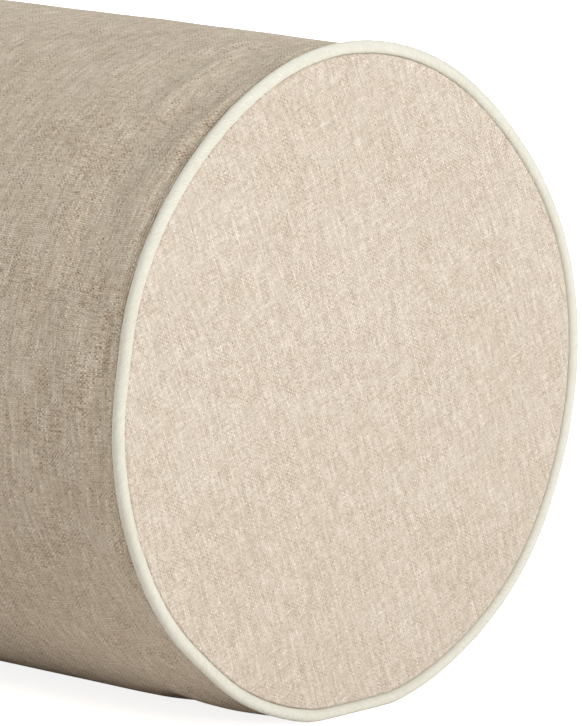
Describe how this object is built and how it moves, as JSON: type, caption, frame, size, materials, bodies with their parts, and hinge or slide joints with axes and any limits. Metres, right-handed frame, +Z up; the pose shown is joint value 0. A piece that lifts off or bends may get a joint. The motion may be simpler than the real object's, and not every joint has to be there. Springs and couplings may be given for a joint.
{
  "type": "bolster pillow",
  "caption": "Round firm bolster pillow with flat piped ends, a zip-off slub-weave cover and a lined, wrapped foam insert.",
  "frame": {"origin": "on the floor, under the middle of the bolster", "axes": "+X along the bolster's axis, +Z up, +Y towards the back, where the zip is"},
  "size_m": [0.666, 0.2292, 0.2276],
  "materials": {
    "slub_weave": "matte",
    "piping_twill": "matte",
    "cotton_filler": "matte",
    "zipper_tape": "matte",
    "zipper_coil": "satin",
    "zipper_metal": "satin",
    "liner_muslin": "matte",
    "batting": "matte",
    "foam": "matte"
  },
  "bodies": {
    "bolster": {"barrel_panel": "slub_weave", "end_panel_right": "slub_weave", "end_panel_left": "slub_weave", "piping_sleeve_right": "piping_twill", "piping_sleeve_left": "piping_twill", "piping_cord_right": "cotton_filler", "piping_cord_left": "cotton_filler", "zipper_tape_upper": "zipper_tape", "zipper_tape_lower": "zipper_tape", "zipper_coil_upper": "zipper_coil", "zipper_coil_lower": "zipper_coil", "zipper_top_stop_upper": "zipper_metal", "zipper_top_stop_lower": "zipper_metal", "zipper_bottom_stop": "zipper_metal", "liner_tube": "liner_muslin", "liner_end_right": "liner_muslin", "liner_end_left": "liner_muslin", "batting_wrap": "batting", "batting_end_right": "batting", "batting_end_left": "batting", "foam_core": "foam"},
    "slider": {"zipper_slider": "zipper_metal"},
    "pull": {"zipper_pull_tab": "zipper_metal"}
  },
  "joints": [
    {"name": "zip_slide", "type": "slide", "parent": "bolster", "child": "slider", "axis": [1, 0, 0], "range_m": [0, 0.4755], "deforming": ["zipper_tape_upper", "zipper_tape_lower", "zipper_coil_upper", "zipper_coil_lower"]},
    {"name": "pull_hinge", "type": "hinge", "parent": "slider", "child": "pull", "pos_m": [-0.2383, 0.10809, 0.15777], "axis": [0, -0.3827, 0.9239], "range_deg": [0, 175]}
  ]
}
